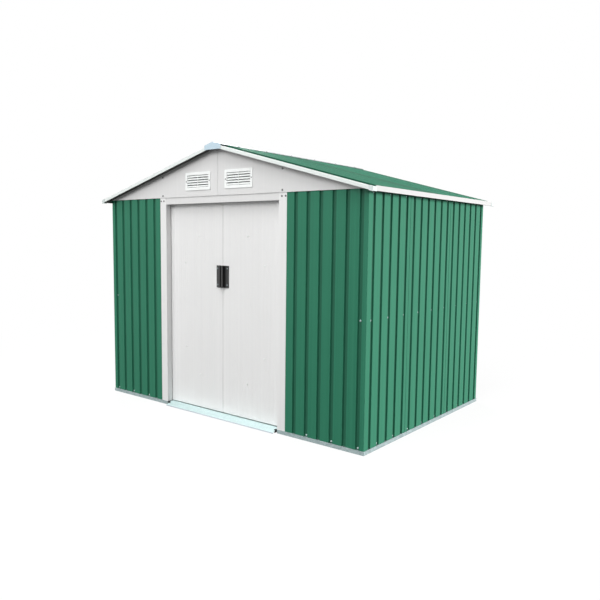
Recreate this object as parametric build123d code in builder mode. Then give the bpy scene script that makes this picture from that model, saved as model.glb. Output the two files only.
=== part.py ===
"""Metal storage shed: rolled steel wall and roof sheets, white gables and trims, two sliding doors."""
import math
import os

from build123d import *

# Overall sizes in millimetres. X runs along the door front, -Y is the front, Z is up.
wall_width = 2450.0
wall_depth = 1665.0
ridge_height = 1930.0
roof_pitch = 15.0
eave_overhang = 60.0
gable_overhang = 55.0

# Rolled sheet: wide flats with narrow trapezoid grooves.
sheet = 1.5
rib_pitch = 97.5
groove_mouth = 30.0
groove_floor = 20.0
groove_depth = 10.0
corner_margin = 46.0
side_shift = 8.0
least_margin = 40.0
lap = 16.0
joggle = 3.0
seam_gap = 0.3

# Galvanised base, sill and ramp.
rail_height = 25.0
rail_ledge = 4.0
rail_width = 45.0
rail_upstand = 25.0
sill_width = 72.0
sill_inset = 18.0
guide_width = 18.0
guide_depth = 12.0
ramp_reach = 32.0
ramp_lip = 18.0
ramp_short = 14.0

# Doorway.
doorway_half = 552.0
jamb_face = 66.0
jamb_lip = 14.0
jamb_cover = 25.0
header_height = 48.0
header_lip = 14.0
header_clear = 4.0
reveal_depth = 41.0

# Sliding doors.
door_setback = 46.0
door_depth = 25.0
door_return = 22.0
door_gap = 6.0
door_overlap = 23.0
door_clear = 11.0
door_cover = 14.0
door_stile = 55.0
door_edge = 12.0
door_rib_pitch = 24.0
door_rib_mouth = 11.0
door_rib_floor = 5.0
door_rib_depth = 1.0
door_channel = 30.0
brace_width = 30.0
brace_thickness = 4.0
brace_inner = 236.0
brace_outer = 394.0
brace_near = 240.0
brace_far = 440.0

# Door track, hangers and guides.
track_gap = 7.0
track_wall = 15.0
track_lip = 10.0
track_drop = 3.0
hanger_length = 40.0
hanger_inset = 70.0
hanger_reach = 11.0
hanger_height = 12.0
guide_block = 12.0
guide_clear = 5.0
running_gap = 0.3

# Door pulls.
pull_width = 54.0
pull_height = 156.0
pull_middle = 1008.0
pull_reach = 26.0
pull_wall = 5.0
pull_lip = 15.0
pull_lip_depth = 9.0
pull_edge = 3.0
pull_round = 2.0

# Gables and vents.
gable_end = 15.0
gable_lap = 8.0
gable_flange = 24.0
gable_proud = 3.0
gable_stiffener = 20.0
gable_seam = 0.9
vent_width = 258.0
vent_height = 126.0
vent_offset = 199.0
vent_lift = 107.0
vent_slats = 5
vent_border = 20.0
vent_plate = 4.0
vent_collar = 10.0
vent_wall = 3.0
slat_thickness = 2.5
slat_drop = 14.0
slat_depth = 8.0

# Roof edges.
edge_strip = 40.0
rake_face = 22.5
eave_face = 30.0
trim_flange = 34.0
trim_lip = 12.0
cap_shell = 2.0
cap_width = 30.0
cap_run = 42.0
cap_drop = 3.0
ridge_wing = 78.0
ridge_end_drop = 27.0
ridge_gap = 12.0

# Inside framing.
rail_middle = 804.0
channel_height = 40.0
channel_depth = 20.0
beam_height = 45.0
beam_width = 26.0
beam_place = 612.0
ridge_beam_wing = 30.0
top_rail_leg = 50.0
top_rail_flange = 30.0
frame_gap = 0.5

x_out = wall_width / 2
y_out = wall_depth / 2
inner = groove_depth + sheet
slope = math.radians(roof_pitch)
rise = math.tan(slope)
upright = sheet / math.cos(slope)
roof_apex = ridge_height - 2 * upright
eave_x = x_out + eave_overhang
roof_y = y_out + gable_overhang


def roof_top(x):
    """Height of the roof's upper flats at a distance from the ridge line."""
    return roof_apex - abs(x) * rise


def roof_under(x):
    """Height of the underside of the roof's groove floors."""
    return roof_top(x) - inner / math.cos(slope)


gable_bottom = roof_under(x_out) - gable_end
wall_top = gable_bottom + gable_lap
header_bottom = gable_bottom - header_height
door_top = header_bottom + door_cover
door_bottom = rail_height + door_clear
jamb_outer = doorway_half + jamb_face
sheet_edge = jamb_outer - jamb_cover
door_middle = door_setback + door_depth / 2
vent_middle = gable_bottom + vent_lift

parts = {}


def keep(name, part):
    part.label = name
    parts[name] = part


def keep_pair(right_name, left_name, part):
    """A right-hand piece and its mirror image on the left."""
    keep(right_name, part)
    with BuildPart() as other:
        mirror(part, about=Plane.YZ)
    keep(left_name, other.part)


def folded(plane, path, turn=1):
    """Section of a folded sheet: the path is its outer skin, and the metal lies to its left (1) or right (-1)."""
    skin = [Vector(*p) for p in path]
    normals = [(b - a).normalized().rotate(Axis.Z, 90 * turn) for a, b in zip(skin, skin[1:])]
    bends = zip(skin, [normals[0], *normals], [*normals, normals[-1]])
    inside = [p + (m + n) * (sheet / (1 + m.dot(n))) for p, m, n in bends]
    with BuildSketch(plane) as section:
        with BuildLine():
            Polyline(*skin, *inside[::-1], close=True)
        make_face()
    return section.sketch


def groove_row(length):
    """Groove centres along a length, at the sheet's pitch, with equal margins at both ends."""
    count = int((length - 2 * least_margin) // rib_pitch) + 1
    first = (length - (count - 1) * rib_pitch) / 2
    return [first + i * rib_pitch for i in range(count)]


def rolled(start, end, centres, mouth=groove_mouth, floor=groove_floor, depth=groove_depth):
    """Outer skin of a rolled run, as distances along it and depths inward."""
    def level(u):
        return depth if any(abs(u - c) < floor / 2 for c in centres) else 0.0

    skin = [(start, level(start))]
    for c in centres:
        for du, v in ((-mouth / 2, 0), (-floor / 2, depth), (floor / 2, depth), (mouth / 2, 0)):
            if start < c + du < end:
                skin.append((c + du, v))
    skin.append((end, level(end)))
    return skin


def lapped(start, end, centres):
    """A rolled run whose far edge is joggled to lie behind the next sheet."""
    run = rolled(start, end - joggle - seam_gap, centres)
    return run + [(end - seam_gap, sheet), (end + lap, sheet)]


def on_front(run):
    return [(u, v - y_out) for u, v in run]


def on_right(run):
    return [(x_out - v, u - y_out) for u, v in run]


def on_rear(run):
    return [(x_out - u, y_out - v) for u, v in run]


def behind_front(path):
    """Points given by depth behind the front wall face and by height."""
    return [(d - y_out, z) for d, z in path]


def slope_plane(x):
    """Across the right roof slope from its rear edge, depth inward, running down to the eave."""
    return Plane(
        origin=(x, roof_y, roof_top(x)),
        x_dir=(0, -1, 0),
        z_dir=(math.cos(slope), 0, -math.sin(slope)),
    )


# Base rails: a strip folded into a foot, a face, a ledge and an upstand, mitred at the corners.
edge_x = x_out + rail_ledge
edge_y = y_out + rail_ledge
corner_front = Plane(origin=(edge_x, -edge_y, 0), z_dir=(1, 1, 0))
corner_rear = Plane(origin=(edge_x, edge_y, 0), z_dir=(1, -1, 0))


def rail_path(foot):
    return [
        (inner, rail_height + rail_upstand), (inner, rail_height), (-rail_ledge, rail_height),
        (-rail_ledge, 0), (foot, 0),
    ]


with BuildPart() as base_front:
    extrude(
        folded(Plane.YZ.offset(doorway_half + sheet), behind_front(rail_path(sill_inset))),
        amount=edge_x - doorway_half - sheet,
    )
    split(bisect_by=corner_front, keep=Keep.BOTTOM)
    mirror(about=Plane.YZ)
keep("base_rail_front", base_front.part)

with BuildPart() as base_rear:
    extrude(
        folded(Plane.YZ, [(y_out - d, z) for d, z in rail_path(rail_width - rail_ledge)], -1),
        amount=edge_x,
    )
    split(bisect_by=corner_rear, keep=Keep.BOTTOM)
    mirror(about=Plane.YZ)
keep("base_rail_rear", base_rear.part)

with BuildPart() as base_sides:
    extrude(
        folded(Plane.XZ, [(x_out - d, z) for d, z in rail_path(rail_width - rail_ledge)], -1),
        amount=edge_y,
        both=True,
    )
    split(bisect_by=corner_front, keep=Keep.TOP)
    split(bisect_by=corner_rear, keep=Keep.TOP)
    mirror(about=Plane.YZ)
keep("base_rail_sides", base_sides.part)

# Door sill: a channel along the front with a sunk groove that the door guides run in.
sill_half = edge_x - rail_width - frame_gap
groove_low = rail_height - guide_depth
with BuildPart() as sill:
    extrude(
        folded(Plane.YZ, behind_front([
            (sill_inset + sill_width, 0), (sill_inset + sill_width, rail_height),
            (door_middle + guide_width / 2, rail_height), (door_middle + guide_width / 2, groove_low),
            (door_middle - guide_width / 2, groove_low), (door_middle - guide_width / 2, rail_height),
            (sill_inset, rail_height), (sill_inset, 0),
        ])),
        amount=sill_half,
        both=True,
    )
keep("door_sill", sill.part)

# Door ramp: a bent plate from the ground up on to the sill.
ramp_angle = math.atan2(rail_height, ramp_reach + sill_inset - sheet)
ramp_foot = sheet * math.cos(ramp_angle)
with BuildPart() as ramp:
    extrude(
        folded(Plane.YZ, behind_front([
            (sill_inset + ramp_lip, rail_height + sheet), (sill_inset - sheet, rail_height + sheet),
            (-ramp_reach, ramp_foot),
        ])),
        amount=doorway_half - ramp_short,
        both=True,
    )
keep("door_ramp", ramp.part)

# Wall sheets stand on the base ledge. Corner sheets are folded round the corner into the next wall's groove.
wall_height = wall_top - rail_height
wall_plane = Plane.XY.offset(rail_height)
side_grooves = [u + side_shift for u in groove_row(wall_depth)]
rear_grooves = groove_row(wall_width)
front_count = int((x_out - jamb_outer - corner_margin - least_margin) // rib_pitch) + 1
front_grooves = [x_out - corner_margin - i * rib_pitch for i in range(front_count)][::-1]


def seam_after(grooves, count):
    """The middle of the flat that follows a number of grooves."""
    return (grooves[count - 1] + grooves[count]) / 2


side_third = len(side_grooves) // 3
side_rest = side_third + (len(side_grooves) - side_third) // 2
seam_a = seam_after(side_grooves, side_third)
seam_b = seam_after(side_grooves, side_rest)

with BuildPart() as front_corner:
    turn_in = rolled(x_out - corner_margin, x_out, front_grooves)[:-1]
    extrude(
        folded(wall_plane, on_front(turn_in) + on_right(lapped(0, seam_a, side_grooves))),
        amount=wall_height,
    )
keep_pair("wall_right_front", "wall_left_front", front_corner.part)

with BuildPart() as side_middle:
    extrude(folded(wall_plane, on_right(lapped(seam_a, seam_b, side_grooves))), amount=wall_height)
keep_pair("wall_right_middle", "wall_left_middle", side_middle.part)

with BuildPart() as rear_corner:
    turn_out = rolled(0, rear_grooves[0], rear_grooves)[1:]
    extrude(
        folded(wall_plane, on_right(rolled(seam_b, wall_depth, side_grooves)) + on_rear(turn_out)),
        amount=wall_height,
    )
keep_pair("wall_right_rear", "wall_left_rear", rear_corner.part)

with BuildPart() as front_sheet:
    extrude(
        folded(wall_plane, on_front(rolled(sheet_edge, front_grooves[-1], front_grooves))),
        amount=wall_height,
    )
keep_pair("wall_front_right", "wall_front_left", front_sheet.part)

rear_third = len(rear_grooves) // 3
rear_a = seam_after(rear_grooves, rear_third)
rear_b = seam_after(rear_grooves, 2 * rear_third)
for name, run in (
    ("wall_rear_right", lapped(rear_grooves[0], rear_a, rear_grooves)),
    ("wall_rear_middle", lapped(rear_a, rear_b, rear_grooves)),
    ("wall_rear_left", rolled(rear_b, rear_grooves[-1], rear_grooves)),
):
    with BuildPart() as rear_sheet:
        extrude(folded(wall_plane, on_rear(run)), amount=wall_height)
    keep(name, rear_sheet.part)

# Door frame: jambs lap over the wall sheets, and the header runs behind the jamb faces.
with BuildPart() as jamb:
    extrude(
        folded(wall_plane, on_front([
            (doorway_half + jamb_lip, reveal_depth), (doorway_half, reveal_depth),
            (doorway_half, -sheet), (jamb_outer, -sheet),
        ])),
        amount=gable_bottom - seam_gap - rail_height,
    )
    with BuildSketch(Plane.XY.offset(header_bottom)):
        with Locations((doorway_half + jamb_face / 2, -y_out + reveal_depth)):
            Rectangle(2 * jamb_face, 2 * reveal_depth)
    extrude(amount=2 * header_height, mode=Mode.SUBTRACT)
keep_pair("jamb_right", "jamb_left", jamb.part)

with BuildPart() as header:
    extrude(
        folded(Plane.YZ, behind_front([
            (0, wall_top), (0, header_bottom), (reveal_depth, header_bottom),
            (reveal_depth, header_bottom + header_lip),
        ])),
        amount=sheet_edge - header_clear,
        both=True,
    )
keep("door_header", header.part)

# Door track: a hooked rail folded from a web behind the front sheets. The door hangers ride on its lip.
track_top = wall_top - track_drop - gable_lap
lip_low = door_top + track_gap
lip_top = lip_low + sheet
with BuildPart() as track:
    extrude(
        folded(Plane.YZ, behind_front([
            (door_middle + track_wall - track_lip, lip_low), (door_middle + track_wall, lip_low),
            (door_middle + track_wall, track_top), (inner, track_top), (inner, header_bottom + sheet),
        ])),
        amount=x_out - inner - sheet - frame_gap,
        both=True,
    )
keep("door_track", track.part)

# Right door, closed: a finely ribbed sheet with returned edges and a flat stile for the pull.
door_x0 = door_gap / 2
door_x1 = doorway_half + door_overlap
rib_span = door_x1 - door_x0 - door_stile - 2 * door_edge
rib_count = int(rib_span // door_rib_pitch) + 1
rib_first = door_x0 + door_stile + door_edge + (rib_span - (rib_count - 1) * door_rib_pitch) / 2
door_ribs = [rib_first + i * door_rib_pitch for i in range(rib_count)]
door_plane = Plane.XY.offset(door_bottom)
with BuildPart() as door_sheet:
    face = rolled(door_x0, door_x1, door_ribs, door_rib_mouth, door_rib_floor, door_rib_depth)
    skin = [(door_x0, door_return), *face, (door_x1, door_return)]
    extrude(
        folded(door_plane, on_front([(u, v + door_setback) for u, v in skin])),
        amount=door_top - door_bottom,
    )
keep_pair("door_right_sheet", "door_left_sheet", door_sheet.part)

# Inside each door: top and bottom channels, hooked hangers, sill guides and two slanting braces.
web_front = door_setback + door_rib_depth + sheet
web_back = door_setback + door_return - frame_gap
run_x0 = door_x0 + sheet
run_x1 = door_x1 - sheet
hook_back = door_middle + hanger_reach
with BuildPart() as door_frame:
    extrude(
        folded(Plane.YZ.offset(run_x0), behind_front([
            (web_back, door_top - door_channel), (web_back, door_top), (web_front, door_top),
            (web_front, door_top - door_channel),
        ])),
        amount=run_x1 - run_x0,
    )
    extrude(
        folded(Plane.YZ.offset(run_x0), behind_front([
            (web_front, door_bottom + door_channel), (web_front, door_bottom), (web_back, door_bottom),
            (web_back, door_bottom + door_channel),
        ])),
        amount=run_x1 - run_x0,
    )
    for x in (run_x0 + hanger_inset, run_x1 - hanger_inset):
        extrude(
            folded(Plane.YZ.offset(x), behind_front([
                (hook_back, lip_top + running_gap), (hook_back, lip_top + hanger_height),
                (door_middle - sheet, lip_top + hanger_height), (door_middle - sheet, door_top - sheet),
            ])),
            amount=hanger_length / 2,
            both=True,
        )
        with BuildSketch(Plane.XY.offset(groove_low + guide_clear)):
            with Locations((x, door_middle - y_out)):
                Rectangle(hanger_length, guide_block)
        extrude(amount=door_bottom - groove_low - guide_clear)
    for low, high in (
        ((brace_outer, door_bottom + brace_far), (brace_inner, door_bottom + brace_near)),
        ((brace_outer, door_top - brace_far), (brace_inner, door_top - brace_near)),
    ):
        run = (high[0] - low[0], high[1] - low[1])
        middle = ((low[0] + high[0]) / 2, web_front - y_out, (low[1] + high[1]) / 2)
        with BuildSketch(Plane(origin=middle, x_dir=(run[0], 0, run[1]), z_dir=(0, 1, 0))):
            SlotCenterToCenter(math.hypot(*run), brace_width)
        extrude(amount=brace_thickness)
keep_pair("door_right_frame", "door_left_frame", door_frame.part)

# Door pull: a screwed flange with a hooked grip beside the meeting edge.
pull_x0 = door_x0 + pull_edge
pull_front = door_setback - pull_reach
with BuildPart() as pull:
    with BuildSketch(Plane.XY.offset(pull_middle - pull_height / 2)):
        with BuildLine():
            Polyline(
                *on_front([
                    (pull_x0, door_setback), (pull_x0, pull_front), (pull_x0 + pull_lip, pull_front),
                    (pull_x0 + pull_lip, pull_front + pull_lip_depth),
                    (pull_x0 + pull_lip - pull_wall, pull_front + pull_lip_depth),
                    (pull_x0 + pull_lip - pull_wall, pull_front + pull_wall),
                    (pull_x0 + pull_wall, pull_front + pull_wall),
                    (pull_x0 + pull_wall, door_setback - pull_wall),
                    (pull_x0 + pull_width, door_setback - pull_wall), (pull_x0 + pull_width, door_setback),
                ]),
                close=True,
            )
        make_face()
    extrude(amount=pull_height)
    uprights = pull.edges().filter_by(Axis.Z)
    fillet(uprights.group_by(Axis.Y)[0] + uprights.group_by(Axis.X)[-1].sort_by(Axis.Y)[:1], radius=pull_round)
keep_pair("door_right_pull", "door_left_pull", pull.part)

# Gables: plates lapped over the walls, hemmed along the foot, with a flange under the roof and a seam stiffener.
gable_plane = Plane.XZ.offset(y_out + gable_proud)


def gable(with_vent):
    with BuildPart() as plate:
        with BuildSketch(gable_plane):
            with BuildLine():
                Polyline(
                    (gable_seam, gable_bottom), (x_out, gable_bottom), (x_out, roof_under(x_out)),
                    (gable_seam, roof_under(gable_seam)), close=True,
                )
            make_face()
            if with_vent:
                hole = 2 * (vent_border - vent_wall) - 2
                with Locations((vent_offset, vent_middle)):
                    Rectangle(vent_width - hole, vent_height - hole, mode=Mode.SUBTRACT)
        extrude(amount=sheet)
        with BuildSketch(gable_plane):
            with BuildLine():
                Polyline(
                    (gable_seam, roof_under(gable_seam)), (x_out, roof_under(x_out)),
                    (x_out, roof_under(x_out) - upright), (gable_seam, roof_under(gable_seam) - upright), close=True,
                )
            make_face()
        extrude(amount=-gable_flange - gable_proud)
        with BuildSketch(gable_plane):
            with Locations(((gable_seam + x_out) / 2, gable_bottom + sheet / 2)):
                Rectangle(x_out - gable_seam, sheet)
        extrude(amount=-gable_proud)
        with BuildSketch(Plane.XZ.offset(y_out + gable_proud + sheet)):
            low = wall_top + sheet
            high = roof_under(gable_seam) - upright / 2
            with Locations((gable_seam + sheet / 2, (low + high) / 2)):
                Rectangle(sheet, high - low)
        extrude(amount=-gable_stiffener)
    return plate.part


keep_pair("gable_front_right", "gable_front_left", gable(True))
with BuildPart() as rear_gable:
    mirror(gable(False), about=Plane.XZ)
keep_pair("gable_rear_right", "gable_rear_left", rear_gable.part)

# Gable vents: a rounded plate with a collar through the gable, sloping slats and a middle bar.
opening_w = vent_width - 2 * vent_border
opening_h = vent_height - 2 * vent_border
vent_plane = Plane.XZ.offset(y_out + gable_proud + sheet)
vent_front = -y_out - gable_proud - sheet - vent_plate
with BuildPart() as vents:
    with BuildSketch(vent_plane):
        with Locations((vent_offset, vent_middle)):
            RectangleRounded(vent_width, vent_height, vent_plate + slat_thickness)
            Rectangle(opening_w, opening_h, mode=Mode.SUBTRACT)
    extrude(amount=vent_plate)
    with BuildSketch(vent_plane):
        with Locations((vent_offset, vent_middle)):
            Rectangle(opening_w + 2 * vent_wall, opening_h + 2 * vent_wall)
            Rectangle(opening_w, opening_h, mode=Mode.SUBTRACT)
    extrude(amount=-vent_collar)
    slat_step = opening_h / vent_slats
    slat_back = vent_front + slat_depth
    for i in range(vent_slats):
        z = vent_middle + (i + 0.5 - vent_slats / 2) * slat_step
        with BuildSketch(Plane.YZ.offset(vent_offset)):
            with BuildLine():
                Polyline(
                    (vent_front, z - slat_drop / 2), (vent_front, z - slat_drop / 2 + slat_thickness),
                    (slat_back, z + slat_drop / 2), (slat_back, z + slat_drop / 2 - slat_thickness), close=True,
                )
            make_face()
        extrude(amount=opening_w / 2 + vent_wall / 2, both=True)
    with BuildSketch(vent_plane):
        with Locations((vent_offset, vent_middle)):
            Rectangle(vent_plate, opening_h + vent_wall)
    extrude(amount=vent_plate)
    mirror(about=Plane.YZ)
keep("gable_vents", vents.part)

# Roof sheets run from the ridge to the eave. Their outer edges lie at groove level, under the rake trims.
trim_x = eave_x - cap_shell
trim_y = roof_y - cap_shell
hook_x = trim_x - 3 * sheet
sheet_side = trim_y - sheet - frame_gap
roof_run = (hook_x - frame_gap - ridge_gap) / math.cos(slope)
side_run = (groove_mouth - groove_floor) / 2
flat_count = int((2 * sheet_side - 2 * edge_strip + groove_mouth) // rib_pitch)
flat_first = roof_y - (flat_count * rib_pitch - groove_mouth) / 2
flat_last = 2 * roof_y - flat_first
roof_grooves = [flat_first - groove_mouth / 2 + i * rib_pitch for i in range(1, flat_count)]
roof_third = len(roof_grooves) // 3
roof_a = seam_after(roof_grooves, roof_third)
roof_b = seam_after(roof_grooves, 2 * roof_third)
rear_strip = [(roof_y - sheet_side, groove_depth), (flat_first - side_run, groove_depth)]
front_strip = [(flat_last + side_run, groove_depth), (roof_y + sheet_side, groove_depth)]
for place, run in (
    ("rear", rear_strip + lapped(flat_first, roof_a, roof_grooves)),
    ("middle", lapped(roof_a, roof_b, roof_grooves)),
    ("front", rolled(roof_b, flat_last, roof_grooves) + front_strip),
):
    with BuildPart() as roof_sheet:
        extrude(folded(slope_plane(ridge_gap), run), amount=roof_run)
    keep_pair("roof_right_" + place, "roof_left_" + place, roof_sheet.part)

# Rake trims: a flange on the sheet's edge strip, a face down the edge and a lip under it.
rake_top = groove_depth - sheet
for place, turn in (("front", 1), ("rear", -1)):
    with BuildPart() as rake:
        skin = (
            (trim_y - trim_flange, rake_top), (trim_y, rake_top), (trim_y, rake_top + rake_face),
            (trim_y - trim_lip, rake_top + rake_face),
        )
        extrude(
            folded(slope_plane(ridge_gap), [(roof_y + turn * u, v) for u, v in skin], turn),
            amount=roof_run,
        )
        mirror(about=Plane.YZ)
    keep("rake_trim_" + place, rake.part)

# Eave trims: a flange under the sheets, hooked up round their ends and down into a face and a lip.
eave_top = roof_top(trim_x)
eave_low = eave_top - eave_face
flange_x = trim_x - trim_flange
with BuildPart() as eaves:
    extrude(
        folded(Plane.XZ, [
            (flange_x, roof_under(flange_x)), (hook_x, roof_under(hook_x)), (hook_x, eave_top),
            (trim_x, eave_top), (trim_x, eave_low), (trim_x - trim_lip, eave_low),
        ], -1),
        amount=trim_y - trim_flange - frame_gap,
        both=True,
    )
    mirror(about=Plane.YZ)
keep("eave_trims", eaves.part)

# Corner caps: moulded shells over the ends of the rake and eave trims.
cap_top = rake_top - cap_shell
cap_low = rake_top + rake_face + cap_drop
cap_x = eave_x - cap_width


def below_roof(x, depth):
    """A point of the front view, at a depth square to the roof's upper flats."""
    return (x, roof_top(x) - depth / math.cos(slope))


with BuildPart() as caps:
    for low, run in ((rake_top, trim_flange), (cap_low, cap_shell)):
        with BuildSketch(Plane.XZ.offset(roof_y - run)):
            with BuildLine():
                Polyline(
                    below_roof(cap_x, cap_top), below_roof(eave_x, cap_top), below_roof(eave_x, low),
                    below_roof(cap_x, low), close=True,
                )
            make_face()
        extrude(amount=run)
    with BuildSketch(Plane.XZ.offset(roof_y - cap_run)):
        with BuildLine():
            Polyline(
                below_roof(trim_x, cap_top), below_roof(eave_x, cap_top), (eave_x, eave_low - cap_drop),
                (trim_x, eave_low - cap_drop), close=True,
            )
        make_face()
    extrude(amount=cap_run)
    mirror(about=Plane.XZ)
    mirror(about=Plane.YZ)
keep("eave_corner_caps", caps.part)

# Ridge cap: two wings over the roof sheets, closed at each end by a plate with a level foot.
wing_z = roof_top(ridge_wing)
with BuildPart() as ridge:
    extrude(
        folded(Plane.XZ, [
            (-ridge_wing, wing_z + 2 * upright), (0, roof_apex + 2 * upright), (ridge_wing, wing_z + 2 * upright),
        ], -1),
        amount=roof_y,
        both=True,
    )
    with BuildSketch(Plane.XZ.offset(trim_y)):
        with BuildLine():
            Polyline(
                (-ridge_wing, wing_z + upright), (0, roof_apex + upright), (ridge_wing, wing_z + upright),
                (ridge_wing, wing_z - ridge_end_drop), (-ridge_wing, wing_z - ridge_end_drop), close=True,
            )
        make_face()
    extrude(amount=cap_shell)
    mirror(about=Plane.XZ)
keep("ridge_cap", ridge.part)

# Roof beams: a channel under each slope and a hat section under the ridge, between the gable flanges.
beam_half = y_out - gable_flange - frame_gap
beam_low = roof_under(beam_place) - beam_height
half_hat = beam_width / 2
hat_low = roof_under(half_hat) - beam_height
with BuildPart() as beams:
    extrude(
        folded(Plane.XZ, [
            (beam_place + beam_width, roof_under(beam_place + beam_width)), (beam_place, roof_under(beam_place)),
            (beam_place, beam_low), (beam_place + beam_width, beam_low),
        ]),
        amount=beam_half,
        both=True,
    )
    mirror(about=Plane.YZ)
    extrude(
        folded(Plane.XZ, [
            (-ridge_beam_wing, roof_under(ridge_beam_wing)), (-half_hat, roof_under(half_hat)),
            (-half_hat, hat_low), (half_hat, hat_low), (half_hat, roof_under(half_hat)),
            (ridge_beam_wing, roof_under(ridge_beam_wing)),
        ], -1),
        amount=beam_half,
        both=True,
    )
keep("roof_beams", beams.part)

# Top rails carry the roof along the side walls.
rail_x = x_out - inner
with BuildPart() as top_rails:
    extrude(
        folded(Plane.XZ, [
            (rail_x, roof_under(rail_x) - top_rail_leg), (rail_x, roof_under(rail_x)),
            (rail_x - top_rail_flange, roof_under(rail_x - top_rail_flange)),
        ]),
        amount=beam_half,
        both=True,
    )
    mirror(about=Plane.YZ)
keep("wall_top_rails", top_rails.part)

# Middle rails: channels round the inside of the side and rear walls.
rail_low = rail_middle - channel_height / 2
rail_high = rail_middle + channel_height / 2
rail_y = y_out - inner
with BuildPart() as mid_rails:
    extrude(
        folded(Plane.XZ, [
            (rail_x - channel_depth, rail_low), (rail_x, rail_low), (rail_x, rail_high),
            (rail_x - channel_depth, rail_high),
        ]),
        amount=rail_y - frame_gap,
        both=True,
    )
    mirror(about=Plane.YZ)
    extrude(
        folded(Plane.YZ, [
            (rail_y - channel_depth, rail_low), (rail_y, rail_low), (rail_y, rail_high),
            (rail_y - channel_depth, rail_high),
        ]),
        amount=rail_x - channel_depth - frame_gap,
        both=True,
    )
keep("wall_mid_rails", mid_rails.part)

os.makedirs("parts", exist_ok=True)
for name, part in parts.items():
    export_step(part, os.path.join("parts", name + ".step"))
print(len(parts), "pieces")
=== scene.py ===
"""Dresses the metal storage shed: paint, zinc and plastic finishes, some with painted light and shade,
fasteners, foam and door seals.
"""
import math

import bmesh
import bpy
from mathutils import Matrix, Vector


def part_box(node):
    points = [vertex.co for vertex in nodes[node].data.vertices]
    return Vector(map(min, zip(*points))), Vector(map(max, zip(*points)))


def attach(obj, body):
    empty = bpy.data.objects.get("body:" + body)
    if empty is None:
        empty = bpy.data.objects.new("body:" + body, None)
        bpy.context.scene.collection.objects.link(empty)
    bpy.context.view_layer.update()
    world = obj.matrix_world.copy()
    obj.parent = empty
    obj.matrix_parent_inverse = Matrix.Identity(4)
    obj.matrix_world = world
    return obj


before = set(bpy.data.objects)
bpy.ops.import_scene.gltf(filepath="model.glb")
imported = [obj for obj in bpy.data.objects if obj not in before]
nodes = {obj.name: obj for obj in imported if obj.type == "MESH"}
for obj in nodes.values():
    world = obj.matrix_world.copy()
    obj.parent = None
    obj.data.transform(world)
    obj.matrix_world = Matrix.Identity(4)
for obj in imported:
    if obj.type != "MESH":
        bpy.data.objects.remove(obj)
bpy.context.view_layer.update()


# Places that the finishes and fasteners take from the frame, in metres
wall_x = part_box("wall_right_middle")[1][0]
wall_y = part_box("wall_rear_middle")[1][1]
groove_pitch = 0.0975
groove_depth = 0.010
foot_height = 0.035
rail_height = 0.804
top_height = 1.552
front_grooves = [wall_x - 0.046 - i * groove_pitch for i in range(6)]
side_grooves = [-wall_y + 0.0605 + i * groove_pitch for i in range(17)]
rear_grooves = [wall_x - 0.055 - i * groove_pitch for i in range(25)]
roof_grooves = [-0.73125 + i * groove_pitch for i in range(16)]
pitch = math.radians(15)
roof_crown = 1.926894
gable_face = wall_y + 0.0045


# Finishes

def shader_node(tree, kind, place, **settings):
    node = tree.nodes.new(kind)
    node.location = place
    for key, value in settings.items():
        setattr(node, key, value)
    return node


def start_material(name):
    material = bpy.data.materials.new(name)
    material.use_nodes = True
    tree = material.node_tree
    surface = tree.nodes["Principled BSDF"]
    coords = shader_node(tree, "ShaderNodeTexCoord", (-1200, 0))
    return material, tree, surface, coords


def noise_texture(tree, coords, place, scale, detail):
    noise = shader_node(tree, "ShaderNodeTexNoise", place)
    noise.inputs["Scale"].default_value = scale
    noise.inputs["Detail"].default_value = detail
    tree.links.new(coords.outputs["Object"], noise.inputs["Vector"])
    return noise


def spread(tree, source, place, low, high, socket="Fac", middle=(0.3, 0.7)):
    """Maps a texture's middle range to a range of values."""
    ramp = shader_node(tree, "ShaderNodeMapRange", place)
    ramp.inputs["From Min"].default_value = middle[0]
    ramp.inputs["From Max"].default_value = middle[1]
    ramp.inputs["To Min"].default_value = low
    ramp.inputs["To Max"].default_value = high
    tree.links.new(source.outputs[socket], ramp.inputs["Value"])
    return ramp


def tinted(tree, factor, place, dark, light):
    mix = shader_node(tree, "ShaderNodeMix", place, data_type="RGBA")
    mix.inputs["A"].default_value = (*dark, 1)
    mix.inputs["B"].default_value = (*light, 1)
    tree.links.new(factor, mix.inputs["Factor"])
    return mix


def fine_bump(tree, source, surface, place, strength, distance, fold_radius=0.0015):
    """A fine relief over edges that are rounded as folded sheet is."""
    folds = shader_node(tree, "ShaderNodeBevel", (place[0] - 200, place[1]), samples=6)
    folds.inputs["Radius"].default_value = fold_radius
    bump = shader_node(tree, "ShaderNodeBump", place)
    bump.inputs["Strength"].default_value = strength
    bump.inputs["Distance"].default_value = distance
    tree.links.new(source.outputs["Fac"], bump.inputs["Height"])
    tree.links.new(folds.outputs["Normal"], bump.inputs["Normal"])
    tree.links.new(bump.outputs["Normal"], surface.inputs["Normal"])
    return bump


def roll_marks_and_sheen_bands(tree, coords, place, across, scale):
    """Fine uneven lines along a sheet, spaced across it: on the walls the marks that the rolls leave, on the
    roof broad bands of painted sheen and shade.
    """
    along = shader_node(tree, "ShaderNodeVectorMath", (place[0] - 200, place[1]), operation="DOT_PRODUCT")
    along.inputs[1].default_value = across
    tree.links.new(coords.outputs["Object"], along.inputs[0])
    lines = shader_node(tree, "ShaderNodeTexNoise", place, noise_dimensions="1D")
    lines.inputs["Scale"].default_value = scale
    lines.inputs["Detail"].default_value = 2.0
    tree.links.new(along.outputs["Value"], lines.inputs["W"])
    return lines


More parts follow.
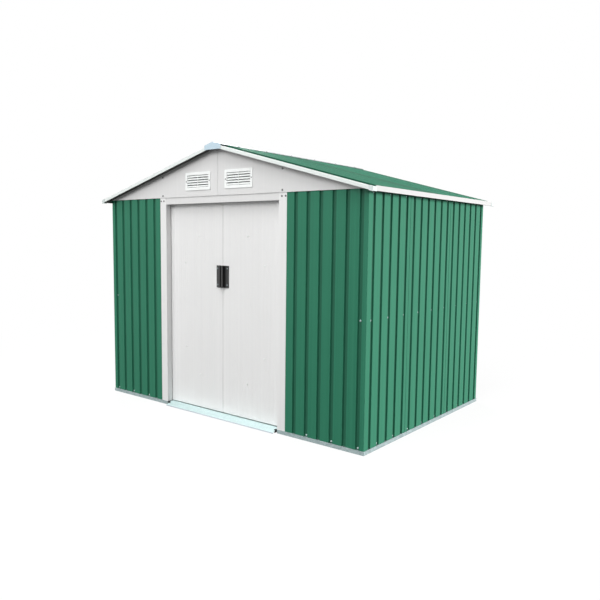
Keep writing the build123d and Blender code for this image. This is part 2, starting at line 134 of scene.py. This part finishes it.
def underside_primer_and_shade(tree, coords, face, tone):
    """A primer tone on faces that point down, made near-black as painted shade under the overhangs and trim
    lips.
    """
    facing = shader_node(tree, "ShaderNodeSeparateXYZ", (-200, 480))
    tree.links.new(coords.outputs["Normal"], facing.inputs["Vector"])
    under = shader_node(tree, "ShaderNodeMath", (0, 480), operation="LESS_THAN")
    under.inputs[1].default_value = -0.05
    tree.links.new(facing.outputs["Z"], under.inputs[0])
    colour = shader_node(tree, "ShaderNodeMix", (160, 380), data_type="RGBA")
    colour.inputs["B"].default_value = (*tone, 1)
    tree.links.new(under.outputs[0], colour.inputs["Factor"])
    tree.links.new(face.outputs["Result"], colour.inputs["A"])
    return colour


def wall_depth_in(tree, coords):
    """How far a place lies behind the walls' outer faces."""
    apart = shader_node(tree, "ShaderNodeVectorMath", (-800, 700), operation="ABSOLUTE")
    tree.links.new(coords.outputs["Object"], apart.inputs[0])
    inward = shader_node(tree, "ShaderNodeVectorMath", (-600, 700), operation="SUBTRACT")
    inward.inputs[0].default_value = (wall_x, wall_y, 0)
    tree.links.new(apart.outputs[0], inward.inputs[1])
    split = shader_node(tree, "ShaderNodeSeparateXYZ", (-400, 700))
    tree.links.new(inward.outputs[0], split.inputs["Vector"])
    least = shader_node(tree, "ShaderNodeMath", (-200, 700), operation="MINIMUM")
    tree.links.new(split.outputs["X"], least.inputs[0])
    tree.links.new(split.outputs["Y"], least.inputs[1])
    return least.outputs[0]


def roof_depth_in(tree, coords):
    """How far a place lies below the roof's outer face."""
    apart = shader_node(tree, "ShaderNodeVectorMath", (-800, 700), operation="ABSOLUTE")
    tree.links.new(coords.outputs["Object"], apart.inputs[0])
    height = shader_node(tree, "ShaderNodeVectorMath", (-600, 700), operation="DOT_PRODUCT")
    height.inputs[1].default_value = (math.sin(pitch), 0, math.cos(pitch))
    tree.links.new(apart.outputs[0], height.inputs[0])
    depth = shader_node(tree, "ShaderNodeMath", (-400, 700), operation="SUBTRACT")
    depth.inputs[0].default_value = roof_crown * math.cos(pitch)
    tree.links.new(height.outputs["Value"], depth.inputs[1])
    return depth.outputs[0]


def painted_groove_shade(tree, coords, face, depth_in, keep, reach):
    """Painted shade: colour darkened the deeper a place lies in a groove."""
    fall = shader_node(tree, "ShaderNodeMapRange", (0, 700))
    fall.inputs["From Min"].default_value = 0.0002
    fall.inputs["From Max"].default_value = reach
    fall.inputs["To Min"].default_value = 1.0
    fall.inputs["To Max"].default_value = keep
    tree.links.new(depth_in(tree, coords), fall.inputs["Value"])
    colour = shader_node(tree, "ShaderNodeMix", (160, 600), data_type="RGBA", blend_type="MULTIPLY")
    colour.inputs["Factor"].default_value = 1.0
    tree.links.new(face.outputs["Result"], colour.inputs["A"])
    tree.links.new(fall.outputs[0], colour.inputs["B"])
    return colour


def coated_sheet(
    name, dark, light, across, scale, lines_height, gloss=0.5, shine=0.15, fold=0.0012, underside_shade=None,
    depth_in=None, keep=1.0, reach=groove_depth, roll_mark_and_sheen_share=0.6, middle=(0.3, 0.7),
):
    """Coil-coated steel: faint roller lines along the sheet, a cloudy tone and a fine orange peel; on the
    roof the lines widen into bands of painted sheen and shade, and where asked the colour takes painted
    shade in the grooves and on faces that point down.
    """
    material, tree, surface, coords = start_material(name)
    surface.inputs["Specular IOR Level"].default_value = shine
    cloud = noise_texture(tree, coords, (-800, 300), 2.2, 3.0)
    lines = roll_marks_and_sheen_bands(tree, coords, (-800, 0), across, scale)
    tone = shader_node(tree, "ShaderNodeMix", (-560, 200))
    tone.inputs["Factor"].default_value = roll_mark_and_sheen_share
    tree.links.new(cloud.outputs["Fac"], tone.inputs["A"])
    tree.links.new(lines.outputs["Fac"], tone.inputs["B"])
    even = spread(tree, tone, (-200, 200), 0.0, 1.0, "Result", middle)
    colour = tinted(tree, even.outputs[0], (0, 260), dark, light)
    if depth_in:
        colour = painted_groove_shade(tree, coords, colour, depth_in, keep, reach)
    if underside_shade:
        colour = underside_primer_and_shade(tree, coords, colour, underside_shade)
    tree.links.new(colour.outputs["Result"], surface.inputs["Base Color"])
    rough = spread(tree, lines, (-200, -40), gloss - 0.05, gloss + 0.06)
    tree.links.new(rough.outputs[0], surface.inputs["Roughness"])
    peel = noise_texture(tree, coords, (-800, -300), 420.0, 1.0)
    grain = fine_bump(tree, peel, surface, (-200, -320), 0.06, 0.0006, fold)
    relief = shader_node(tree, "ShaderNodeBump", (100, -320))
    relief.inputs["Strength"].default_value = 1.0
    relief.inputs["Distance"].default_value = lines_height
    tree.links.new(lines.outputs["Fac"], relief.inputs["Height"])
    tree.links.new(grain.outputs["Normal"], relief.inputs["Normal"])
    tree.links.new(relief.outputs["Normal"], surface.inputs["Normal"])
    return material


def zinc_coated(name, dark, light):
    """Hot-dip galvanised steel with a soft crystal spangle."""
    material, tree, surface, coords = start_material(name)
    surface.inputs["Metallic"].default_value = 0.75
    spangle = shader_node(tree, "ShaderNodeTexVoronoi", (-800, 200))
    spangle.inputs["Scale"].default_value = 90.0
    tree.links.new(coords.outputs["Object"], spangle.inputs["Vector"])
    grey = shader_node(tree, "ShaderNodeSeparateColor", (-600, 200))
    tree.links.new(spangle.outputs["Color"], grey.inputs["Color"])
    colour = tinted(tree, grey.outputs["Red"], (-200, 260), dark, light)
    tree.links.new(colour.outputs["Result"], surface.inputs["Base Color"])
    rough = shader_node(tree, "ShaderNodeMapRange", (-200, 0))
    rough.inputs["To Min"].default_value = 0.34
    rough.inputs["To Max"].default_value = 0.52
    tree.links.new(grey.outputs["Green"], rough.inputs["Value"])
    tree.links.new(rough.outputs[0], surface.inputs["Roughness"])
    grain = noise_texture(tree, coords, (-800, -300), 260.0, 2.0)
    fine_bump(tree, grain, surface, (-200, -320), 0.08, 0.0004)
    return material


def moulded(name, dark, light, gloss):
    """Injection-moulded plastic with a fine spark-eroded grain."""
    material, tree, surface, coords = start_material(name)
    cloud = noise_texture(tree, coords, (-800, 300), 14.0, 2.0)
    even = spread(tree, cloud, (-400, 300), 0.0, 1.0)
    colour = tinted(tree, even.outputs[0], (-100, 260), dark, light)
    tree.links.new(colour.outputs["Result"], surface.inputs["Base Color"])
    rough = spread(tree, cloud, (-400, 0), gloss - 0.04, gloss + 0.04)
    tree.links.new(rough.outputs[0], surface.inputs["Roughness"])
    grain = noise_texture(tree, coords, (-800, -300), 900.0, 1.0)
    fine_bump(tree, grain, surface, (-200, -320), 0.12, 0.0003)
    return material


def tint_ends(material, reach, tone):
    """Gives the pieces of a part beyond a distance from the middle a flat colour of their own: the ridge
    cap's pale ends, and on the ramp a painted shadow line along its front lip.
    """
    tree = material.node_tree
    surface = tree.nodes["Principled BSDF"]
    coords = shader_node(tree, "ShaderNodeTexCoord", (-1200, 900))
    split = shader_node(tree, "ShaderNodeSeparateXYZ", (-1000, 900))
    tree.links.new(coords.outputs["Object"], split.inputs["Vector"])
    apart = shader_node(tree, "ShaderNodeMath", (-800, 900), operation="ABSOLUTE")
    tree.links.new(split.outputs["Y"], apart.inputs[0])
    beyond = shader_node(tree, "ShaderNodeMath", (-600, 900), operation="GREATER_THAN")
    beyond.inputs[1].default_value = reach
    tree.links.new(apart.outputs[0], beyond.inputs[0])
    colour = shader_node(tree, "ShaderNodeMix", (0, 900), data_type="RGBA")
    colour.inputs["B"].default_value = (*tone, 1)
    tree.links.new(beyond.outputs[0], colour.inputs["Factor"])
    tree.links.new(surface.inputs["Base Color"].links[0].from_socket, colour.inputs["A"])
    tree.links.new(colour.outputs["Result"], surface.inputs["Base Color"])
    metal = shader_node(tree, "ShaderNodeMapRange", (0, 1100))
    metal.inputs["To Min"].default_value = surface.inputs["Metallic"].default_value
    metal.inputs["To Max"].default_value = 0.0
    tree.links.new(beyond.outputs[0], metal.inputs["Value"])
    tree.links.new(metal.outputs[0], surface.inputs["Metallic"])


across_walls = (1, 1, 0)
across_roof = (0, 1, 0)
across_eave = (1, 0, 1)
green_dark = (0.0202, 0.151, 0.087)
green_light = (0.0267, 0.173, 0.101)
# Near-black primer tone: painted shade for the undersides of the roof and trims.
primer_and_shade_dark = (0.032, 0.030, 0.028)
# Painted shade: the wall paint darkens the deeper it lies in a groove.
green_wall = coated_sheet(
    "green_wall_paint", green_dark, green_light, across_walls, 45.0, 0.0010, fold=0.0025,
    depth_in=wall_depth_in, keep=0.6)
# The roof paint's broad light and dark bands along the slope are painted sheen and shade of the ribs; it
# also darkens in its grooves as painted shade.
green_roof = coated_sheet(
    "green_roof_paint", (0.0130, 0.108, 0.061), (0.0275, 0.174, 0.105), across_roof, 3.4, 0.0040, 0.6, 0.08,
    underside_shade=primer_and_shade_dark, depth_in=roof_depth_in, keep=0.5, reach=0.0015, roll_mark_and_sheen_share=0.9, middle=(0.40, 0.60))
white_sheet = coated_sheet(
    "white_sheet_paint", (0.740, 0.740, 0.736), (0.765, 0.765, 0.761), across_walls, 45.0, 0.0002)
# A darker copy of the white sheet paint for the gables and the door header: painted shade.
shaded_white_gable = coated_sheet(
    "white_gable_paint_shaded", (0.675, 0.675, 0.671), (0.698, 0.698, 0.694), across_walls, 45.0, 0.0002)
# The trims' undersides take the near-black primer tone as painted shade.
white_trim = coated_sheet(
    "white_trim_paint", (0.70, 0.745, 0.725), (0.73, 0.775, 0.755), across_roof, 45.0, 0.0,
    underside_shade=primer_and_shade_dark)
# A grey copy of the white trim paint for the eave trims: painted shade.
shaded_eave_paint = coated_sheet(
    "eave_trim_paint_shaded", (0.52, 0.515, 0.51), (0.545, 0.54, 0.535), across_eave, 45.0, 0.0, underside_shade=primer_and_shade_dark)
zinc = zinc_coated("zinc_steel", (0.26, 0.33, 0.335), (0.36, 0.44, 0.445))
pale_zinc = zinc_coated("pale_zinc_steel", (0.36, 0.44, 0.44), (0.44, 0.52, 0.52))
# Galvanised zinc made much paler than the rails' zinc: painted light for the ramp's upward face.
lit_ramp_zinc = zinc_coated("ramp_zinc_steel_lit", (0.66, 0.83, 0.83), (0.72, 0.89, 0.89))
# Painted shadow: a dull blue-grey line along the ramp's front lip.
tint_ends(lit_ramp_zinc, 0.858, (0.42, 0.47, 0.52))
ridge_zinc = zinc_coated("ridge_zinc_steel", (0.38, 0.42, 0.43), (0.48, 0.52, 0.53))
tint_ends(ridge_zinc, 0.884, (0.44, 0.565, 0.645))
black_plastic = moulded("black_plastic", (0.006, 0.006, 0.006), (0.011, 0.011, 0.011), 0.5)
white_plastic = moulded("white_plastic", (0.78, 0.80, 0.79), (0.84, 0.86, 0.85), 0.36)
cap_plastic = moulded("corner_cap_plastic", (0.54, 0.60, 0.59), (0.58, 0.64, 0.63), 0.4)
# Near-black foam for the strips under the rakes: painted shade under the roof's overhang.
shade_dark_foam = moulded("shade_dark_foam", (0.045, 0.045, 0.044), (0.060, 0.060, 0.058), 0.7)
dull_steel = moulded("dull_bolt_steel", (0.10, 0.10, 0.10), (0.15, 0.15, 0.15), 0.45)


def finish_of(name):
    if name.startswith(("wall_front", "wall_left", "wall_right", "wall_rear")):
        return green_wall
    if name.startswith(("roof_left", "roof_right")):
        return green_roof
    if name == "door_ramp":
        return lit_ramp_zinc
    if name == "ridge_cap":
        return ridge_zinc
    if name.startswith(("base_rail", "door_sill", "roof_beams", "wall_top", "wall_mid", "door_track")):
        return zinc
    if name.endswith("_frame"):
        return zinc
    if name.endswith("_pull"):
        return black_plastic
    if name == "gable_vents":
        return white_plastic
    if name == "eave_corner_caps":
        return cap_plastic
    if name == "eave_trims":
        return shaded_eave_paint
    if name.startswith("rake_trim"):
        return white_trim
    if name.startswith(("gable_front", "gable_rear", "door_header")):
        return shaded_white_gable
    return white_sheet


for name, node in nodes.items():
    node.data.materials.clear()
    node.data.materials.append(finish_of(name))

bpy.ops.object.select_all(action="DESELECT")

FRONT = Vector((0, -1, 0))
REAR = Vector((0, 1, 0))
RIGHT = Vector((1, 0, 0))
UP = Vector((0, 0, 1))


# Fasteners, foam fillers and seals, and dark pieces put where shade falls

def open_piece(piece):
    """Opens one piece in edit mode with nothing else selected."""
    bpy.ops.object.select_all(action="DESELECT")
    piece.select_set(True)
    bpy.context.view_layer.objects.active = piece
    bpy.ops.object.mode_set(mode="EDIT")
    bpy.ops.mesh.select_mode(type="FACE")
    bpy.ops.mesh.select_all(action="DESELECT")


def pick_faces(piece, wanted):
    shell = bmesh.from_edit_mesh(piece.data)
    for face in shell.faces:
        face.select_set(wanted(face))
    bmesh.update_edit_mesh(piece.data)


def pick_edges(piece, wanted):
    """Selects the long edges whose two ends are both wanted."""
    bpy.ops.mesh.select_mode(type="EDGE")
    bpy.ops.mesh.select_all(action="DESELECT")
    shell = bmesh.from_edit_mesh(piece.data)
    longest = max(edge.calc_length() for edge in shell.edges)
    for edge in shell.edges:
        start, end = (vert.co for vert in edge.verts)
        edge.select_set(wanted(start) and wanted(end) and edge.calc_length() > longest * 0.5)
    bmesh.update_edit_mesh(piece.data)


def raise_faces(height, share=1.0):
    """Draws the picked faces out along the axis and narrows them."""
    bpy.ops.mesh.extrude_region_move(TRANSFORM_OT_translate={"value": (0, 0, height)})
    bpy.ops.transform.resize(value=(share, share, 1), center_override=(0, 0, 0))


def close_piece(piece, angle=35):
    bpy.ops.object.mode_set(mode="OBJECT")
    bpy.ops.object.shade_smooth_by_angle(angle=math.radians(angle))
    piece.select_set(False)


def start_block(size, middle):
    """A block of a size about a middle, left open with all of it selected."""
    bpy.ops.mesh.primitive_cube_add(size=1)
    block = bpy.context.active_object
    open_piece(block)
    bpy.ops.mesh.select_all(action="SELECT")
    bpy.ops.transform.resize(value=size)
    bpy.ops.transform.translate(value=middle)
    return block


def pan_bolt(washer, head, crown, recess):
    """A bolt's domed head with its drive recess, standing on a washer at the origin."""
    thick = 0.0014
    bpy.ops.mesh.primitive_cylinder_add(vertices=12, radius=washer, depth=thick, location=(0, 0, thick / 2))
    bolt = bpy.context.active_object
    bpy.ops.object.transform_apply()
    open_piece(bolt)
    pick_faces(bolt, lambda face: face.normal.z > 0.9)
    bpy.ops.mesh.inset(thickness=washer - head)
    raise_faces(crown * 0.6, 0.94)
    raise_faces(crown * 0.4, 0.66)
    bpy.ops.mesh.inset(thickness=head * 0.62 - recess)
    raise_faces(-crown * 0.5, 0.8)
    close_piece(bolt)
    return bolt


def hex_bolt(washer, across, height):
    """A hexagon head with a chamfered top, standing on its washer at the origin."""
    thick = 0.0016
    bpy.ops.mesh.primitive_cylinder_add(vertices=12, radius=washer, depth=thick, location=(0, 0, thick / 2))
    bolt = bpy.context.active_object
    bpy.ops.object.transform_apply()
    open_piece(bolt)
    pick_faces(bolt, lambda face: face.normal.z > 0.9)
    bpy.ops.mesh.inset(thickness=washer * 0.12)
    raise_faces(0.0004)
    bpy.ops.object.mode_set(mode="OBJECT")
    middle = (0, 0, thick + height / 2)
    bpy.ops.mesh.primitive_cylinder_add(vertices=6, radius=across, depth=height, location=middle)
    head = bpy.context.active_object
    bpy.ops.object.transform_apply()
    open_piece(head)
    pick_faces(head, lambda face: face.normal.z > 0.9)
    raise_faces(height * 0.16, 0.84)
    close_piece(head, 20)
    bolt.select_set(True)
    head.select_set(True)
    bpy.context.view_layer.objects.active = bolt
    bpy.ops.object.join()
    bpy.ops.object.shade_smooth_by_angle(angle=math.radians(20))
    bolt.select_set(False)
    return bolt


def foam_closure(width, foot, tall, long):
    """The end of a foam filler in a roof groove at the ridge cap's edge, with its base at the origin."""
    block = start_block((long, width, tall), (0, 0, tall / 2 + 0.0002))
    pick_faces(block, lambda face: face.normal.z < -0.9)
    bpy.ops.transform.resize(value=(1, foot / width, 1))
    pick_faces(block, lambda face: face.normal.z > 0.9)
    bpy.ops.mesh.inset(thickness=long * 0.22)
    raise_faces(tall * 0.08)
    close_piece(block, 50)
    return block


def foam_bar(long, wide, tall):
    """A foam strip that hangs from the origin, with its two lower edges rounded."""
    bar = start_block((long, wide, tall), (0, 0, -tall / 2))
    pick_edges(bar, lambda co: co.z < -tall / 2)
    bpy.ops.mesh.bevel(offset=wide * 0.25, segments=3, affect="EDGES")
    close_piece(bar)
    return bar


def shade_end_plug(thick, wide, tall, front_tall):
    """A wedge that closes the hollow under the ramp at one end, standing on the ground at the origin; it is
    a dark piece put where that hollow lies in shade.
    """
    plug = start_block((thick, wide, tall), (0, 0, tall / 2))
    pick_edges(plug, lambda co: co.z > tall / 2 and co.y < 0)
    bpy.ops.transform.translate(value=(0, 0, front_tall - tall))
    pick_faces(plug, lambda face: abs(face.normal.x) > 0.9)
    bpy.ops.mesh.inset(thickness=thick * 0.2, depth=thick * 0.1)
    close_piece(plug)
    return plug


def fasten(pattern, name, spots, body, finish):
    """Copies a fastener to its spots, each facing outwards, and joins the copies into one piece."""
    copies = []
    for place, outward in spots:
        bpy.ops.object.select_all(action="DESELECT")
        pattern.select_set(True)
        bpy.context.view_layer.objects.active = pattern
        bpy.ops.object.duplicate()
        copy = bpy.context.active_object
        turn = UP.rotation_difference(outward)
        copy.matrix_world = Matrix.Translation(place) @ turn.to_matrix().to_4x4()
        copies.append(copy)
    bpy.ops.object.select_all(action="DESELECT")
    for copy in copies:
        copy.select_set(True)
    bpy.context.view_layer.objects.active = copies[0]
    bpy.ops.object.transform_apply()
    bpy.ops.object.join()
    piece = bpy.context.active_object
    piece.name = name
    piece.data.name = name
    piece.data.materials.clear()
    piece.data.materials.append(finish)
    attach(piece, body)
    piece.select_set(False)


def both_sides(spots):
    """The spots and their mirror images across the middle of the front."""
    flip = Vector((-1, 1, 1))
    return spots + [(place * flip, outward * flip) for place, outward in spots]


def front_row(grooves, height):
    return [(Vector((x, -wall_y + groove_depth, height)), FRONT) for x in grooves]


def right_row(grooves, height):
    return [(Vector((wall_x - groove_depth, y, height)), RIGHT) for y in grooves]


def rear_row(grooves, height):
    return [(Vector((x, wall_y - groove_depth, height)), REAR) for x in grooves]


def roof_row(grooves, x, depth):
    outward = Vector((math.sin(pitch), 0, math.cos(pitch)))
    z = roof_crown - x * math.tan(pitch) - depth / math.cos(pitch)
    return [(Vector((x, y, z)), outward) for y in grooves]


wall_bolt = pan_bolt(washer=0.0066, head=0.0046, crown=0.0026, recess=0.0016)
small_screw = pan_bolt(washer=0.0046, head=0.0036, crown=0.0020, recess=0.0012)
roof_bolt = hex_bolt(washer=0.0080, across=0.0052, height=0.0040)

# Bolt rows at the foot, the middle rail and the top of the walls
foot_spots = both_sides(
    front_row(front_grooves[0::2], foot_height) + right_row(side_grooves[1::2], foot_height))
foot_spots += rear_row(rear_grooves[0::2], foot_height)
fasten(wall_bolt, "foot_bolts", foot_spots, "shed", pale_zinc)

rail_spots = both_sides(
    front_row(front_grooves[:1], rail_height) + right_row(side_grooves[0::2], rail_height))
rail_spots += rear_row(rear_grooves[0::2], rail_height)
fasten(wall_bolt, "rail_bolts", rail_spots, "shed", zinc)

top_spots = both_sides(right_row(side_grooves[0::2], top_height))
top_spots += rear_row(rear_grooves[0::2], top_height)
fasten(wall_bolt, "top_bolts", top_spots, "shed", zinc)

# Bolts on the gables and at the heads of the jambs
gable_places = ((0.583, 1.587), (0.583, 1.720), (1.172, 1.587))
jamb_places = ((0.577, 1.549), (0.608, 1.549))
jamb_face = wall_y + 0.0015
gable_spots = both_sides([(Vector((x, -gable_face, z)), FRONT) for x, z in gable_places])
gable_spots += both_sides([(Vector((x, gable_face, z)), REAR) for x, z in gable_places])
gable_spots += both_sides([(Vector((x, -jamb_face, z)), FRONT) for x, z in jamb_places])
fasten(wall_bolt, "gable_bolts", gable_spots, "shed", dull_steel)

vent_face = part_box("gable_vents")[0][1]
vent_places = ((0.080, 1.6788), (0.318, 1.6788))
vent_spots = both_sides([(Vector((x, vent_face, z)), FRONT) for x, z in vent_places])
fasten(small_screw, "vent_screws", vent_spots, "shed", dull_steel)

# Roof bolts over the beams, at the eaves and through the ridge cap's flanges
beam_x = 0.640
eave_x = 1.256
flange_x = 0.052
flange_lift = 0.0015
crown_rows = [y + groove_pitch / 2 for y in roof_grooves[0::3]]
roof_spots = both_sides(
    roof_row(roof_grooves[0::2], beam_x, groove_depth)
    + roof_row(roof_grooves[0::2], eave_x, groove_depth)
    + roof_row(crown_rows, flange_x, -flange_lift)
)
fasten(roof_bolt, "roof_bolts", roof_spots, "shed", zinc)

# Foam in the roof grooves beside the ridge cap, and under the roof along the gables, where the near-black
# foam is painted shade under the rakes
closure = foam_closure(width=0.029, foot=0.0185, tall=0.0118, long=0.012)
closure_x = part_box("ridge_cap")[1][0] + 0.0068
closure_spots = both_sides(roof_row(roof_grooves, closure_x, groove_depth))
fasten(closure, "ridge_closures", closure_spots, "shed", black_plastic)

gable_bar = foam_bar(long=1.2585, wide=0.0150, tall=0.0145)
bar_x = 0.6112
bar_y = 0.8447
roof_under = 0.0117
bar_spots = both_sides(roof_row((-bar_y, bar_y), bar_x, roof_under))
fasten(gable_bar, "gable_shade_closures", bar_spots, "shed", shade_dark_foam)

# Black plugs in the open ends of the ramp, dark pieces put where the hollow under the ramp lies in shade
ramp_shade_plug = shade_end_plug(thick=0.0080, wide=0.0200, tall=0.0225, front_tall=0.0125)
plug_place = Vector((0.5335, -0.8270, 0.0))
fasten(ramp_shade_plug, "ramp_end_shade_plugs", both_sides([(plug_place, UP)]), "shed", black_plastic)

# Door bolts, pull screws and seals
door_low, door_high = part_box("door_right_sheet")
door_face = door_low[1]
brace_places = ((0.238, 1.294), (0.238, 0.273), (0.393, 1.094), (0.393, 0.468))
pull_places = ((0.047, 0.950), (0.047, 1.066))
pull_face = door_face - 0.005
meeting_gap = 0.0005
strip_front = door_face + 0.0015
strip_back = door_face + 0.0135
sweep_front = door_face + 0.0003
sweep_back = door_face + 0.0040
sweep_low = door_low[2] - 0.0070
sweep_high = door_low[2] - 0.0002
seal_round = 0.0009


def seal_strip(name, low, high, rounded, body, finish):
    """A seal on a door's edge: a bar between two corners, with its picked edges rounded."""
    low, high = Vector(low), Vector(high)
    strip = start_block(high - low, (low + high) / 2)
    pick_edges(strip, rounded)
    bpy.ops.mesh.bevel(offset=seal_round, segments=3, affect="EDGES")
    close_piece(strip)
    strip.name = name
    strip.data.name = name
    strip.data.materials.append(finish)
    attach(strip, body)


for side, body in ((1, "right_door"), (-1, "left_door")):
    brace_spots = [(Vector((side * x, door_face, z)), FRONT) for x, z in brace_places]
    fasten(wall_bolt, body + "_brace_bolts", brace_spots, body, white_plastic)
    pull_spots = [(Vector((side * x, pull_face, z)), FRONT) for x, z in pull_places]
    fasten(small_screw, body + "_pull_screws", pull_spots, body, zinc)

    inner, outer = sorted((side * meeting_gap, side * door_low[0]))
    seal_strip(
        body + "_edge_strip", (inner, strip_front, door_low[2]), (outer, strip_back, door_high[2]),
        lambda co: abs(co.x) < door_low[0] / 2, body, white_sheet)

    inner, outer = sorted((side * (door_low[0] + 0.0005), side * (door_high[0] - 0.0020)))
    seal_strip(
        body + "_sweep", (inner, sweep_front, sweep_low), (outer, sweep_back, sweep_high),
        lambda co: co.z < (sweep_low + sweep_high) / 2, body, white_plastic)

for pattern in (wall_bolt, small_screw, roof_bolt, closure, gable_bar, ramp_shade_plug):
    bpy.data.objects.remove(pattern)

# Floor and light

def seen_directly(tree):
    """One for the camera, reflections and sight through glass, nought for light that falls on things."""
    path = shader_node(tree, "ShaderNodeLightPath", (-600, 300))
    seen = shader_node(tree, "ShaderNodeMath", (-400, 300), operation="MAXIMUM")
    tree.links.new(path.outputs["Is Camera Ray"], seen.inputs[0])
    tree.links.new(path.outputs["Is Glossy Ray"], seen.inputs[1])
    also = shader_node(tree, "ShaderNodeMath", (-240, 300), operation="MAXIMUM")
    tree.links.new(seen.outputs[0], also.inputs[0])
    tree.links.new(path.outputs["Is Transmission Ray"], also.inputs[1])
    return also


bpy.ops.mesh.primitive_plane_add(size=80, location=(0, 0, -0.0015))
floor = bpy.context.active_object
floor.name = "studio_floor"
floor_paint = bpy.data.materials.new("studio_floor_white")
floor_paint.use_nodes = True
tree = floor_paint.node_tree
surface = tree.nodes["Principled BSDF"]
path = shader_node(tree, "ShaderNodeLightPath", (-600, -200))
seen_tone = tinted(tree, path.outputs["Is Camera Ray"], (-300, -100), (0.12, 0.12, 0.12), (0.95, 0.95, 0.95))
tree.links.new(seen_tone.outputs["Result"], surface.inputs["Base Color"])
surface.inputs["Roughness"].default_value = 0.9
surface.inputs["Specular IOR Level"].default_value = 0.1
glow = shader_node(tree, "ShaderNodeEmission", (0, -200))
mix = shader_node(tree, "ShaderNodeMixShader", (300, 0))
coords = shader_node(tree, "ShaderNodeTexCoord", (-900, 600))
reach = shader_node(tree, "ShaderNodeVectorMath", (-700, 600), operation="LENGTH")
tree.links.new(coords.outputs["Object"], reach.inputs[0])
fade = shader_node(tree, "ShaderNodeMapRange", (-500, 600), interpolation_type="SMOOTHSTEP")
fade.inputs["From Min"].default_value = 1.6
fade.inputs["From Max"].default_value = 4.5
fade.inputs["To Min"].default_value = 0.90
fade.inputs["To Max"].default_value = 1.0
tree.links.new(reach.outputs["Value"], fade.inputs["Value"])
share = shader_node(tree, "ShaderNodeMath", (-80, 400), operation="MULTIPLY")
tree.links.new(seen_directly(tree).outputs[0], share.inputs[0])
tree.links.new(fade.outputs[0], share.inputs[1])
tree.links.new(share.outputs[0], mix.inputs["Fac"])
tree.links.new(surface.outputs[0], mix.inputs[1])
tree.links.new(glow.outputs[0], mix.inputs[2])
tree.links.new(mix.outputs[0], tree.nodes["Material Output"].inputs["Surface"])
floor.data.materials.append(floor_paint)

world = bpy.data.worlds.new("studio")
bpy.context.scene.world = world
world.use_nodes = True
tree = world.node_tree
ambient = tree.nodes["Background"]
ambient.inputs["Color"].default_value = (1, 1, 1, 1)
ambient.inputs["Strength"].default_value = 0.16
white = shader_node(tree, "ShaderNodeBackground", (0, -200))
white.inputs["Color"].default_value = (1, 1, 1, 1)
white.inputs["Strength"].default_value = 1.0
mix = shader_node(tree, "ShaderNodeMixShader", (300, 0))
tree.links.new(seen_directly(tree).outputs[0], mix.inputs["Fac"])
tree.links.new(ambient.outputs[0], mix.inputs[1])
tree.links.new(white.outputs[0], mix.inputs[2])
tree.links.new(mix.outputs[0], tree.nodes["World Output"].inputs["Surface"])


def softbox(name, place, aim, size, watts):
    bpy.ops.object.light_add(type="AREA", location=place)
    lamp = bpy.context.active_object
    lamp.name = name
    lamp.data.shape = "DISK"
    lamp.data.size = size
    lamp.data.energy = watts
    lamp.rotation_euler = (Vector(aim) - Vector(place)).to_track_quat("-Z", "Y").to_euler()


softbox("front_key", (0.5, -14.0, 9.5), (0, -0.8, 0.9), 9.0, 1500)
softbox("top_soft", (1.5, -4.5, 10.0), (0.3, -0.6, 0.9), 6.0, 610)
softbox("front_fill", (-7.0, -10.5, 3.5), (0, -0.8, 0.9), 6.0, 320)
softbox("right_rear", (20.0, 7.0, 4.5), (1.2, 0, 0.9), 8.0, 6600)
softbox("left_rear", (-15.0, 11.0, 6.0), (-1.0, 0.6, 0.9), 8.0, 2600)

# Camera at the photograph's place
eye = Vector((3.1417, -3.8814, 1.2740))
forward = Vector((-0.6172, 0.7808, -0.0967)).normalized()
roll = 0.0117
level = forward.cross(Vector((0, 0, 1))).normalized()
upright = level.cross(forward)
right = level * math.cos(roll) + upright * math.sin(roll)
up = upright * math.cos(roll) - level * math.sin(roll)
bpy.ops.object.camera_add()
camera = bpy.context.active_object
camera.name = "photo_camera"
camera.data.sensor_width = 36.0
camera.data.lens = 37.24
camera.data.clip_end = 200
turn = Matrix((right, up, -forward)).transposed().to_4x4()
camera.matrix_world = Matrix.Translation(eye) @ turn
bpy.context.scene.camera = camera
bpy.context.scene.view_settings.view_transform = "Standard"
